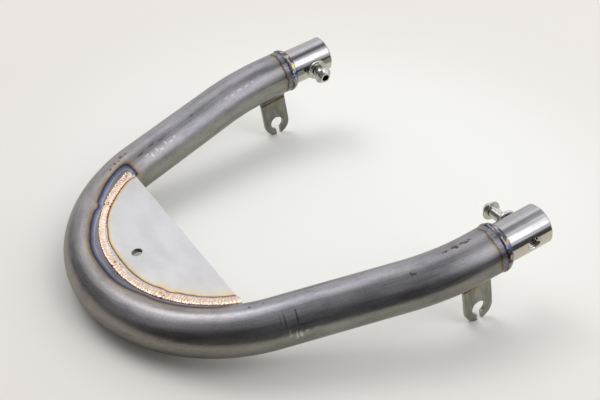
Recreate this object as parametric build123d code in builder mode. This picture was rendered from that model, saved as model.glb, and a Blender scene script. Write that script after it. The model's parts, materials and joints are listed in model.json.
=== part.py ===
from build123d import *
import os
from math import asin, atan2, cos, hypot, radians, sin, sqrt

# Rear hoop of a motorcycle subframe, in millimetres. A tube is bent to a flared U, a half-moon plate is
# brazed into its rear bend, a slug is welded into each open end, and a slotted lamp tab hangs from each leg.
# +X points to the open ends, +Y to the left leg and +Z up. The hoop stands as it rests, on the underside of
# the rear bend and the tips of the two tabs, and the origin is under the middle of it.

# Hoop tube
tube_radius = 12.7
tube_wall = 2.0
bend_radius = 82.7
leg_flare = 16.8
leg_straight = 64.9
turn_in_radius = 132.0
end_straight = 13.1

# Half-moon plate in the rear bend, measured from the bend's centre and from the tube's centre plane
plate_thickness = 2.5
plate_underside = 5.5
plate_chord = 32.7
plate_fit = 0.05
wire_hole_radius = 2.7
wire_hole_back = 58.6
wire_hole_aside = 2.4

# Brazed bead between plate and tube, laid in four runs whose ends are angles from the rearmost point. Each
# run has its own lap over the plate's rim and its own rise on the tube above the plate's top
bead_run_ends = (-62.0, -30.0, 0.5, 40.0, 62.0)
bead_on_plate = (3.6, 2.2, 0.7, 0.2)
bead_on_tube = (0.9, 0.9, 1.5, 1.7)
bead_crown = 0.75
bead_lean = 0.2

# Slugs: round bars that reach in to where the tube starts to turn, each drilled across for a screw
slug_fit = 0.05
slug_standing_out = 27.0
slug_bend_clearance = 0.1
slug_chamfer = 0.8
cross_hole_from_tip = 12.0
countersink_radius = 4.0

# Weld round each slug, along the leg and outward from the tube's end
end_weld_on_slug = 2.0
end_weld_on_tube = 2.8
end_weld_crown = 0.65

# Button-head screws and washers
screw_radius = 3.0
screw_length = 20.0
screw_tip_chamfer = 0.6
thread_clearance = 0.05
head_radius = 5.25
head_height = 3.3
head_rim = 0.5
head_flat_radius = 2.9
head_dome_radius = 5.6
socket_across_flats = 4.0
socket_depth = 2.1
washer_radius = 6.25
washer_thickness = 1.6
washer_hole_clearance = 0.3
washer_edge = 0.2
washer_gap = 0.05

# How far each head stands off its slug, and how far each slug is turned so that its screw points down
head_standing_out = {"left": 7.7, "right": 12.7}
slug_turn = {"left": 7.0, "right": 3.0}

# Lamp tabs, with a cable slot from the lamp's hole to the tip
tab_width = 16.7
tab_thickness = 2.0
tab_hole_drop = 34.0
tab_hole_radius = 4.2
tab_slot = 2.8
tab_from_tube_end = 13.6
tab_weld_leg = 3.2
tab_weld_bulge = 0.4
tab_weld_short = 0.8

sides = {"left": 1, "right": -1}

# Where the legs end, in the tube's centre plane, counted from the centre of the rear bend
flare = radians(leg_flare)
tube_end_along = (turn_in_radius - bend_radius) * sin(flare) + leg_straight * cos(flare) + end_straight
tube_end_across = (
    turn_in_radius + (bend_radius - turn_in_radius) * cos(flare) + leg_straight * sin(flare)
)
slug_radius = tube_radius - tube_wall - slug_fit
slug_inside = end_straight - slug_bend_clearance
slug_tip_along = tube_end_along + slug_standing_out
cross_hole_along = slug_tip_along - cross_hole_from_tip
tab_along = tube_end_along - tab_from_tube_end
tab_end_radius = tab_width / 2

# The pitch at which the rear bend and both tab tips touch the floor, and the bend's centre at that pitch
tab_reach = hypot(bend_radius + tab_along, tab_hole_drop)
rest_pitch = atan2(tab_hole_drop, bend_radius + tab_along) - asin((tube_radius - tab_end_radius) / tab_reach)
rear_reach = bend_radius * cos(rest_pitch) + tube_radius
front_reach = slug_tip_along * cos(rest_pitch) + (slug_radius - slug_chamfer) * sin(rest_pitch)
bend_centre = ((rear_reach - front_reach) / 2, 0, bend_radius * sin(rest_pitch) + tube_radius)

hoop_plane = Plane(
    origin=bend_centre,
    x_dir=(cos(rest_pitch), 0, sin(rest_pitch)),
    z_dir=(-sin(rest_pitch), 0, cos(rest_pitch)),
)
forward = hoop_plane.x_dir
upward = hoop_plane.z_dir
bend_axis = Axis(hoop_plane.origin, upward)


def hoop_point(along, across, above=0.0):
    return hoop_plane.from_local_coords(Vector(along, across, above))


def save(piece, name):
    piece.part.label = name
    export_step(piece.part, f"parts/{name}.step")


def bend_section(angle):
    """The plane across the rear bend at an angle from its rearmost point. Its x points outward."""
    outward = forward.rotate(bend_axis, 180 - angle)
    return Plane(origin=hoop_plane.origin, x_dir=outward, z_dir=outward.cross(upward))


def inward(name):
    """The direction of a slug's cross hole, towards the middle of the hoop."""
    turn = radians(slug_turn[name])
    return Vector(0, -sides[name] * cos(turn), 0) - upward * sin(turn)


def cross_centre(name):
    return hoop_point(cross_hole_along, sides[name] * tube_end_across)


# The tube's centreline, from the right leg's end round to the left leg's
with BuildLine(hoop_plane) as centreline:
    half_bend = JernArc(start=(-bend_radius, 0), tangent=(0, 1), radius=bend_radius, arc_size=leg_flare - 90)
    leg = Line(half_bend @ 1, half_bend @ 1 + leg_straight * (half_bend % 1))
    turn_in = JernArc(start=leg @ 1, tangent=leg % 1, radius=turn_in_radius, arc_size=-leg_flare)
    Line(turn_in @ 1, turn_in @ 1 + end_straight * forward)
    mirror(about=Plane.XZ)
hoop_path = centreline.wire()
path_start = Plane(origin=hoop_path @ 0, z_dir=hoop_path % 0)


def make_hoop_bar():
    """The tube's outer form as a solid bar, to cut what is fitted against it."""
    with BuildPart() as hoop_bar:
        with BuildSketch(path_start):
            Circle(tube_radius)
        sweep(path=hoop_path)
    return hoop_bar.part


def make_hoop_tube():
    with BuildPart() as hoop_tube:
        with BuildSketch(path_start):
            Circle(tube_radius)
            Circle(tube_radius - tube_wall, mode=Mode.SUBTRACT)
        sweep(path=hoop_path)
    save(hoop_tube, "hoop_tube")


# The plate's rim is cut square and meets the tube along its lower edge
plate_radius = bend_radius - sqrt(tube_radius**2 - plate_underside**2) - plate_fit
plate_top = plate_underside + plate_thickness


def make_gusset_plate():
    with BuildPart() as gusset_plate:
        with BuildSketch(hoop_plane.offset(plate_underside)):
            Circle(plate_radius)
            with Locations((-plate_chord, 0)):
                Rectangle(
                    plate_chord + plate_radius,
                    2 * plate_radius,
                    align=(Align.MIN, Align.CENTER),
                    mode=Mode.SUBTRACT,
                )
            with Locations((-wire_hole_back, wire_hole_aside)):
                Circle(wire_hole_radius, mode=Mode.SUBTRACT)
        extrude(amount=plate_thickness)
    save(gusset_plate, "gusset_plate")


def make_gusset_weld(run):
    """One run of the bead: it fills the groove beside the plate's rim and crowns over plate and tube."""
    start_angle, end_angle = bead_run_ends[run], bead_run_ends[run + 1]
    toe_on_plate = (plate_radius - bead_on_plate[run], plate_top)
    toe_above = plate_top + bead_on_tube[run]
    toe_on_tube = (bend_radius - sqrt(tube_radius**2 - toe_above**2), toe_above)
    crown = (
        (toe_on_plate[0] + toe_on_tube[0]) / 2 - bead_lean,
        (toe_on_plate[1] + toe_on_tube[1]) / 2 + bead_crown,
    )
    with BuildPart() as gusset_weld:
        with BuildSketch(bend_section(start_angle)):
            with BuildLine():
                ThreePointArc(toe_on_plate, crown, toe_on_tube)
                Polyline(
                    toe_on_tube,
                    (toe_on_tube[0], plate_underside),
                    (plate_radius, plate_underside),
                    (plate_radius, plate_top),
                    toe_on_plate,
                )
            make_face()
            with Locations((bend_radius, 0)):
                Circle(tube_radius, mode=Mode.SUBTRACT)
        revolve(axis=bend_axis, revolution_arc=start_angle - end_angle)
    save(gusset_weld, f"gusset_weld_{run + 1}")


def make_slug(name):
    """A round bar with both ends chamfered, drilled across and countersunk at both mouths."""
    inner_end = hoop_point(tube_end_along - slug_inside, sides[name] * tube_end_across)
    cross_plane = Plane(origin=cross_centre(name), x_dir=forward, z_dir=inward(name))
    hole_radius = screw_radius + thread_clearance
    countersink_depth = countersink_radius - hole_radius
    with BuildPart() as slug:
        with BuildSketch(Plane(origin=inner_end, z_dir=forward)):
            Circle(slug_radius)
        extrude(amount=slug_inside + slug_standing_out)
        chamfer(slug.edges().filter_by(GeomType.CIRCLE), length=slug_chamfer)
        with Locations(cross_plane):
            Cylinder(hole_radius, 2 * tube_radius, mode=Mode.SUBTRACT)
        for mouth in (-1, 1):
            mouth_plane = Plane(origin=cross_plane.origin, x_dir=forward, z_dir=mouth * inward(name))
            with Locations(mouth_plane.offset(slug_radius - countersink_depth)):
                Cone(
                    hole_radius,
                    countersink_radius,
                    countersink_depth,
                    align=(Align.CENTER, Align.CENTER, Align.MIN),
                    mode=Mode.SUBTRACT,
                )
    save(slug, f"{name}_slug")


def make_end_weld(name):
    """The bead that closes the step between the tube's end and the slug."""
    end_centre = hoop_point(tube_end_along, sides[name] * tube_end_across)
    crown = (
        (end_weld_on_slug - end_weld_on_tube) / 2,
        tube_radius + end_weld_crown,
    )
    with BuildPart() as end_weld:
        with BuildSketch(Plane(origin=end_centre, x_dir=forward, z_dir=(0, -1, 0))):
            with BuildLine():
                ThreePointArc((end_weld_on_slug, slug_radius), crown, (-end_weld_on_tube, tube_radius))
                Polyline(
                    (-end_weld_on_tube, tube_radius),
                    (0, tube_radius),
                    (0, slug_radius),
                    (end_weld_on_slug, slug_radius),
                )
            make_face()
        revolve(axis=Axis(end_centre, forward))
    save(end_weld, f"{name}_end_weld")


def make_screw(name):
    """A button-head screw with a hexagon socket, part way out of its slug."""
    axis_direction = inward(name)
    under_head = slug_radius + head_standing_out[name]
    tip = under_head - screw_length
    head_top = under_head + head_height
    rim_top = (head_radius, under_head + head_rim)
    flat_edge = (head_flat_radius, head_top)
    screw_plane = Plane(origin=cross_centre(name), x_dir=forward, z_dir=forward.cross(axis_direction))
    socket_plane = Plane(origin=cross_centre(name), x_dir=forward, z_dir=axis_direction).offset(head_top)
    with BuildPart() as screw:
        with BuildSketch(screw_plane):
            with BuildLine():
                Polyline(
                    (0, head_top),
                    (0, tip),
                    (screw_radius - screw_tip_chamfer, tip),
                    (screw_radius, tip + screw_tip_chamfer),
                    (screw_radius, under_head),
                    (head_radius, under_head),
                    rim_top,
                )
                RadiusArc(rim_top, flat_edge, -head_dome_radius)
                Line(flat_edge, (0, head_top))
            make_face()
        revolve(axis=Axis(cross_centre(name), axis_direction))
        with BuildSketch(socket_plane):
            RegularPolygon(socket_across_flats / 2, 6, major_radius=False)
        extrude(amount=-socket_depth, mode=Mode.SUBTRACT)
    save(screw, f"{name}_screw")


def make_washer(name):
    washer_plane = Plane(origin=cross_centre(name), x_dir=forward, z_dir=inward(name))
    with BuildPart() as washer:
        with BuildSketch(washer_plane.offset(slug_radius + washer_gap)):
            Circle(washer_radius)
            Circle(screw_radius + washer_hole_clearance, mode=Mode.SUBTRACT)
        extrude(amount=washer_thickness)
        chamfer(washer.edges().filter_by(GeomType.CIRCLE).group_by(SortBy.RADIUS)[-1], length=washer_edge)
    save(washer, f"{name}_washer")


def make_lamp_tab(name, hoop_bar):
    """A flat strip with a round end, coped to the underside of the leg."""
    tab_centre = hoop_point(tab_along, sides[name] * tube_end_across)
    with BuildPart() as lamp_tab:
        with BuildSketch(Plane(origin=tab_centre, x_dir=forward, z_dir=(0, -1, 0))):
            Rectangle(tab_width, tab_hole_drop, align=(Align.CENTER, Align.MAX))
            with Locations((0, -tab_hole_drop)):
                Circle(tab_end_radius)
                Circle(tab_hole_radius, mode=Mode.SUBTRACT)
                Rectangle(tab_slot, tab_width, align=(Align.CENTER, Align.MAX), mode=Mode.SUBTRACT)
        extrude(amount=tab_thickness / 2, both=True)
        add(hoop_bar, mode=Mode.SUBTRACT)
    save(lamp_tab, f"{name}_lamp_tab")


def make_tab_weld(name, face_name, facing, hoop_bar):
    """A fillet weld in the corner between one face of a tab and the underside of the leg."""
    tab_centre = hoop_point(tab_along, sides[name] * tube_end_across)
    tab_face = tab_thickness / 2
    toe_across = tab_face + tab_weld_leg
    toe_on_tab = (tab_face, -tube_radius - tab_weld_leg)
    toe_on_tube = (toe_across, -sqrt(tube_radius**2 - toe_across**2))
    middle = (
        (toe_on_tab[0] + toe_on_tube[0]) / 2 + tab_weld_bulge,
        (toe_on_tab[1] + toe_on_tube[1]) / 2 - tab_weld_bulge,
    )
    with BuildPart() as tab_weld:
        with BuildSketch(Plane(origin=tab_centre, x_dir=(0, facing, 0), z_dir=facing * forward)):
            with BuildLine():
                ThreePointArc(toe_on_tab, middle, toe_on_tube)
                Polyline(
                    toe_on_tube,
                    (toe_across, -tube_radius / 2),
                    (tab_face, -tube_radius / 2),
                    toe_on_tab,
                )
            make_face()
        extrude(amount=tab_width / 2 - tab_weld_short, both=True)
        add(hoop_bar, mode=Mode.SUBTRACT)
    save(tab_weld, f"{name}_tab_{face_name}_weld")


os.makedirs("parts", exist_ok=True)
hoop_bar = make_hoop_bar()
make_hoop_tube()
make_gusset_plate()
for run in range(len(bead_on_plate)):
    make_gusset_weld(run)
for name, side in sides.items():
    make_slug(name)
    make_end_weld(name)
    make_screw(name)
    make_washer(name)
    make_lamp_tab(name, hoop_bar)
    make_tab_weld(name, "outer", side, hoop_bar)
    make_tab_weld(name, "inner", -side, hoop_bar)
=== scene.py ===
import json
from math import atan2, copysign, cos, exp, hypot, pi, radians, sin, sqrt

import bmesh
import bpy
from mathutils import Matrix, Vector, noise


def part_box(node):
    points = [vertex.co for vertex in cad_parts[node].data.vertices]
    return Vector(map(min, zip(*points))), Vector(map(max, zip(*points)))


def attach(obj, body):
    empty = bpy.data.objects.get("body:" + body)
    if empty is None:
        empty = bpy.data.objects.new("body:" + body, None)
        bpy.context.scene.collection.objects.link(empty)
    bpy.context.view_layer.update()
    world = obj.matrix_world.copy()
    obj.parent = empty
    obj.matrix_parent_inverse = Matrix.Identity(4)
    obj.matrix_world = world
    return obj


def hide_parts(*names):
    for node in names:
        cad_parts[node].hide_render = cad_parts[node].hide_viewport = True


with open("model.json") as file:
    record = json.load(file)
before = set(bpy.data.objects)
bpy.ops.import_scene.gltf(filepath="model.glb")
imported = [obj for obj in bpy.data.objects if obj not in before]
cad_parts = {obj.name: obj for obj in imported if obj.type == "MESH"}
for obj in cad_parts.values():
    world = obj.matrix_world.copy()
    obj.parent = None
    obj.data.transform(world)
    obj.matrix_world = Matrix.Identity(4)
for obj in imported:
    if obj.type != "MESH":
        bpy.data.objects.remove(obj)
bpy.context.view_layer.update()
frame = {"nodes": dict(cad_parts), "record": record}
nodes = frame["nodes"]
mm = 0.001

# The hoop's own sizes in millimetres and degrees. Angles round the bend start at its rearmost point
hoop = {
    "tubeRadius": 12.7,
    "tubeWall": 2.0,
    "bendRadius": 82.7,
    "legFlare": 16.8,
    "legStraight": 64.9,
    "turnInRadius": 132.0,
    "endStraight": 13.1,
    "plateTop": 8.0,
    "plateRadius": 71.2,
    "slugRadius": 10.65,
    "crossHoleFromTube": 15.0,
}

# The hoop lies pitched. Its normal is the plate hole's axis, and its rear bend touches the frame's low corner
plateHole = next(m for m in frame["record"]["mounts"] if m["name"] == "plate_hole")
upward = Vector(plateHole["axis"]).normalized()
forward = Vector((upward.z, 0, -upward.x))
tubeLow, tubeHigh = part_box("hoop_tube")
bendCentre = Vector((
    tubeLow.x + (hoop["bendRadius"] * forward.x + hoop["tubeRadius"]) * mm,
    0,
    tubeLow.z + (hoop["bendRadius"] * forward.z + hoop["tubeRadius"]) * mm,
))
hoopMatrix = Matrix.Translation(bendCentre) @ Matrix((
    (forward.x, 0, upward.x, 0),
    (forward.y, 1, upward.y, 0),
    (forward.z, 0, upward.z, 0),
    (0, 0, 0, 1),
)) @ Matrix.Scale(mm, 4)

# Each half of the hoop's centre line: lengths of its runs and how sharply they turn, from the rearmost point
flare = radians(hoop["legFlare"])
halfRuns = (
    (hoop["bendRadius"] * (pi / 2 - flare), 1 / hoop["bendRadius"]),
    (hoop["legStraight"], 0),
    (hoop["turnInRadius"] * flare, 1 / hoop["turnInRadius"]),
    (hoop["endStraight"], 0),
)
halfLength = sum(length for length, curve in halfRuns)
print("frame loaded, half the hoop is", round(halfLength, 1), "mm long")


# Where a point of the straight tube comes to lie once the tube is bent. Along is from the rearmost point
def bentPlace(along, out, up):
    x, y, heading, left = -hoop["bendRadius"], 0.0, pi / 2, abs(along)
    for length, curve in halfRuns:
        step = min(left, length)
        turned = heading - step * curve
        if curve:
            x += (sin(heading) - sin(turned)) / curve
            y += (cos(turned) - cos(heading)) / curve
        else:
            x += step * cos(heading)
            y += step * sin(heading)
        heading = turned
        left -= step
    side = copysign(1, along)
    return Vector((x - out * sin(heading), side * (y + out * cos(heading)), up))


endPoint = bentPlace(halfLength, 0, 0)
rollLength = radians(hoop["tubeRadius"])      # mm round the tube for each degree of roll
bendLength = radians(hoop["plateRadius"])     # mm along the bead for each degree round the bend


# Straight lines between chosen (place, size) pairs, eased at each pair
def between(pairs, place):
    if place <= pairs[0][0]:
        return pairs[0][1]
    for (low, lowSize), (high, highSize) in zip(pairs, pairs[1:]):
        if place <= high:
            share = (place - low) / (high - low)
            return lowSize + (highSize - lowSize) * share * share * (3 - 2 * share)
    return pairs[-1][1]


def addNode(tree, kind, values=None, **settings):
    made = tree.nodes.new("ShaderNode" + kind)
    for key, value in settings.items():
        setattr(made, key, value)
    for key, value in (values or {}).items():
        if isinstance(value, bpy.types.NodeSocket):
            tree.links.new(value, made.inputs[key])
        else:
            made.inputs[key].default_value = value
    return made


def calc(tree, operation, *values):
    return addNode(tree, "Math", dict(enumerate(values)), operation=operation).outputs[0]


def times(tree, first, second):
    return calc(tree, "MULTIPLY", first, second)


def less(tree, first, second):
    return calc(tree, "SUBTRACT", first, second)


def vectorCalc(tree, operation, *values, output="Vector"):
    made = addNode(tree, "VectorMath", dict(enumerate(values)), operation=operation)
    return made.outputs[output]


def axesOf(tree, vector):
    return addNode(tree, "SeparateXYZ", {0: vector}).outputs


def spread(tree, value, low, high, start=0.0, end=1.0, soft=True):
    return addNode(tree, "MapRange", {
        "Value": value, "From Min": low, "From Max": high, "To Min": start, "To Max": end,
    }, interpolation_type="SMOOTHSTEP" if soft else "LINEAR").outputs[0]


def mixed(tree, factor, first, second, way="MIX"):
    made = addNode(tree, "Mix", {"Factor": factor}, data_type="RGBA", blend_type=way)
    for socket, colour in zip(("A", "B"), (first, second)):
        target = [s for s in made.inputs if s.name == socket and s.type == "RGBA"][0]
        if isinstance(colour, bpy.types.NodeSocket):
            tree.links.new(colour, target)
        else:
            target.default_value = (*colour, 1)
    return [s for s in made.outputs if s.type == "RGBA"][0]


# A colour with a tint multiplied in, wholly or by a share
def tinted(tree, colour, tint, share=1.0):
    return mixed(tree, share, colour, tint, "MULTIPLY")


def shaded(tree, colour, value, share=1.0):
    grey = addNode(tree, "CombineColor", {0: value, 1: value, 2: value}).outputs[0]
    return tinted(tree, colour, grey, share)


# Colours along a value. Each stop is its place, red, green and blue
def ramp(tree, value, stops):
    made = addNode(tree, "ValToRGB", {"Fac": value})
    elements = made.color_ramp.elements
    while len(elements) < len(stops):
        elements.new(1.0)
    for element, (place, *colour) in zip(elements, stops):
        element.position = place
        element.color = (*colour, 1)
    return made.outputs["Color"]


# A smooth curve through chosen (place, size) pairs, held as shares of a scale
def curved(tree, value, pairs, scale):
    low, high = pairs[0][0], pairs[-1][0]
    made = addNode(tree, "FloatCurve", {"Value": spread(tree, value, low, high, soft=False)})
    points = made.mapping.curves[0].points
    while len(points) < len(pairs):
        points.new(0.5, 0.5)
    for point, (place, size) in zip(points, pairs):
        point.location = ((place - low) / (high - low), size / scale)
    made.mapping.update()
    return times(tree, made.outputs[0], scale)


# Noise from 0 to 1. The scale is one number, or one for each axis
def patchy(tree, vector, scale, detail=3.0, rough=0.55):
    if isinstance(scale, tuple):
        vector, scale = vectorCalc(tree, "MULTIPLY", vector, scale), 1.0
    return addNode(tree, "TexNoise", {
        "Vector": vector, "Scale": scale, "Detail": detail, "Roughness": rough,
    }).outputs["Fac"]


# The same noise, up and down from 0
def swing(tree, vector, scale, detail=3.0):
    return less(tree, patchy(tree, vector, scale, detail), 0.5)


def newGroup(name, inputs, outputs):
    group = bpy.data.node_groups.new(name, "ShaderNodeTree")
    for title, default in inputs.items():
        kind = "NodeSocketVector" if isinstance(default, tuple) else "NodeSocketFloat"
        group.interface.new_socket(name=title, in_out="INPUT", socket_type=kind).default_value = default
    for title, kind in outputs.items():
        group.interface.new_socket(name=title, in_out="OUTPUT", socket_type="NodeSocket" + kind)
    return group, group.nodes.new("NodeGroupInput").outputs, group.nodes.new("NodeGroupOutput").inputs


# Joins a group's values to the outputs of the same names
def giveOut(group, result, **values):
    for title, value in values.items():
        group.links.new(value, result[title])
    return group


def useGroup(tree, group, **values):
    return addNode(tree, "Group", values, node_tree=group).outputs


# A surface point in the hoop's own frame, in millimetres from the bend's centre
def makeHoopPlace():
    group, given, result = newGroup("hoopPlace", {}, {"Place": "Vector"})
    point = addNode(group, "TexCoord").outputs["Object"]
    moved = vectorCalc(group, "SUBTRACT", point, bendCentre)
    places = {}
    for number, axis in enumerate((forward, Vector((0, 1, 0)), upward)):
        reach = vectorCalc(group, "DOT_PRODUCT", moved, axis, output="Value")
        places[number] = calc(group, "DIVIDE", reach, mm)
    return giveOut(group, result, Place=addNode(group, "CombineXYZ", places).outputs[0])


# Angle from the rearmost point, radius from the bend's centre and roll round the tube from its top, inward
def makeBendPlace():
    group, given, result = newGroup("bendPlace", {}, {"Angle": "Float", "Radius": "Float", "Roll": "Float"})
    x, y, z = axesOf(group, useGroup(group, hoopPlace)["Place"])
    angle = calc(group, "DEGREES", calc(group, "ARCTAN2", y, times(group, x, -1.0)))
    flat = calc(group, "SQRT", calc(group, "ADD", times(group, x, x), times(group, y, y)))
    roll = calc(group, "DEGREES", calc(group, "ARCTAN2", less(group, hoop["bendRadius"], flat), z))
    return giveOut(group, result, Angle=angle, Radius=flat, Roll=roll)


# Distance out from the tube's open end, roll round the leg from its top, inward, and the side: left is 1
def makeEndPlace():
    group, given, result = newGroup("endPlace", {}, {"Along": "Float", "Roll": "Float", "Side": "Float"})
    x, y, z = axesOf(group, useGroup(group, hoopPlace)["Place"])
    inward = less(group, endPoint.y, calc(group, "ABSOLUTE", y))
    roll = calc(group, "DEGREES", calc(group, "ARCTAN2", inward, z))
    return giveOut(group, result, Along=less(group, x, endPoint.x), Roll=roll, Side=calc(group, "SIGN", y))


# How hot the steel was: half at the blue line, less on its cold side and more on its hot side
def makeHeatFall():
    group, given, result = newGroup("heatFall", {"Distance": 0.0, "Cold": 1.0, "Hot": 1.0}, {"Heat": "Float"})
    before = calc(group, "MINIMUM", given["Distance"], 0.0)
    cold = calc(group, "EXPONENT", calc(group, "DIVIDE", before, given["Cold"]))
    past = times(group, calc(group, "MAXIMUM", given["Distance"], 0.0), -1.0)
    hot = calc(group, "EXPONENT", calc(group, "DIVIDE", past, given["Hot"]))
    return giveOut(group, result, Heat=calc(group, "MULTIPLY_ADD", less(group, cold, hot), 0.5, 0.5))


# A soft-edged spot, 1 inside and 0 beyond its reach, ragged at its edge
def makeSpot():
    group, given, result = newGroup("spot", {
        "Vector": (0.0, 0.0, 0.0), "Centre": (0.0, 0.0, 0.0), "Reach": (1.0, 1.0, 1.0),
        "Ragged": 0.3, "Grain": 1.1,
    }, {"Mask": "Float"})
    offset = vectorCalc(group, "SUBTRACT", given["Vector"], given["Centre"])
    far = vectorCalc(group, "LENGTH", vectorCalc(group, "DIVIDE", offset, given["Reach"]), output="Value")
    grain = patchy(group, given["Vector"], given["Grain"], 3.0, 0.6)
    edge = calc(group, "ADD", far, times(group, less(group, grain, 0.5), given["Ragged"]))
    return giveOut(group, result, Mask=spread(group, edge, 0.65, 1.1, 1.0, 0.0))


hoopPlace = makeHoopPlace()
bendPlace = makeBendPlace()
endPlace = makeEndPlace()
heatFall = makeHeatFall()
spot = makeSpot()
print("node groups made")


def newMaterial(name, settings):
    material = bpy.data.materials.new(name)
    material.use_nodes = True
    shader = material.node_tree.nodes["Principled BSDF"]
    for title, value in settings.items():
        shader.inputs[title].default_value = value
    return material, material.node_tree, shader


# A bare metal. Its paint function gives the colour, a pattern that spreads the roughness between the look's
# two values, and a pattern for a slight bump, as deep as the look says in mm
def newMetal(name, look, paint):
    material, tree, shader = newMaterial(name, {"Metallic": 1.0})
    colour, rubbed, height = paint(tree, look)
    rough = spread(tree, rubbed, look.get("rubbedFrom", 0.3), 0.7, *look["roughness"])
    bump = addNode(tree, "Bump", {"Height": height, "Distance": look["bump"] * mm}).outputs["Normal"]
    for title, value in (("Base Color", colour), ("Roughness", rough), ("Normal", bump)):
        tree.links.new(value, shader.inputs[title])
    return material


def ownAttribute(tree, name, output="Vector"):
    return addNode(tree, "Attribute", attribute_name=name).outputs[output]


# A value for the near leg, which is the right one, and one for the far
def bySide(tree, ends, near=0.0, far=1.0):
    return spread(tree, ends["Side"], -1, 1, near, far)


# One soft-edged spot of another shade laid over a colour
def spotted(tree, colour, shade, strength, vector, centre, reach, **edge):
    mask = useGroup(tree, spot, Vector=vector, Centre=centre, Reach=reach, **edge)["Mask"]
    return mixed(tree, times(tree, mask, strength), colour, shade)


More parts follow.
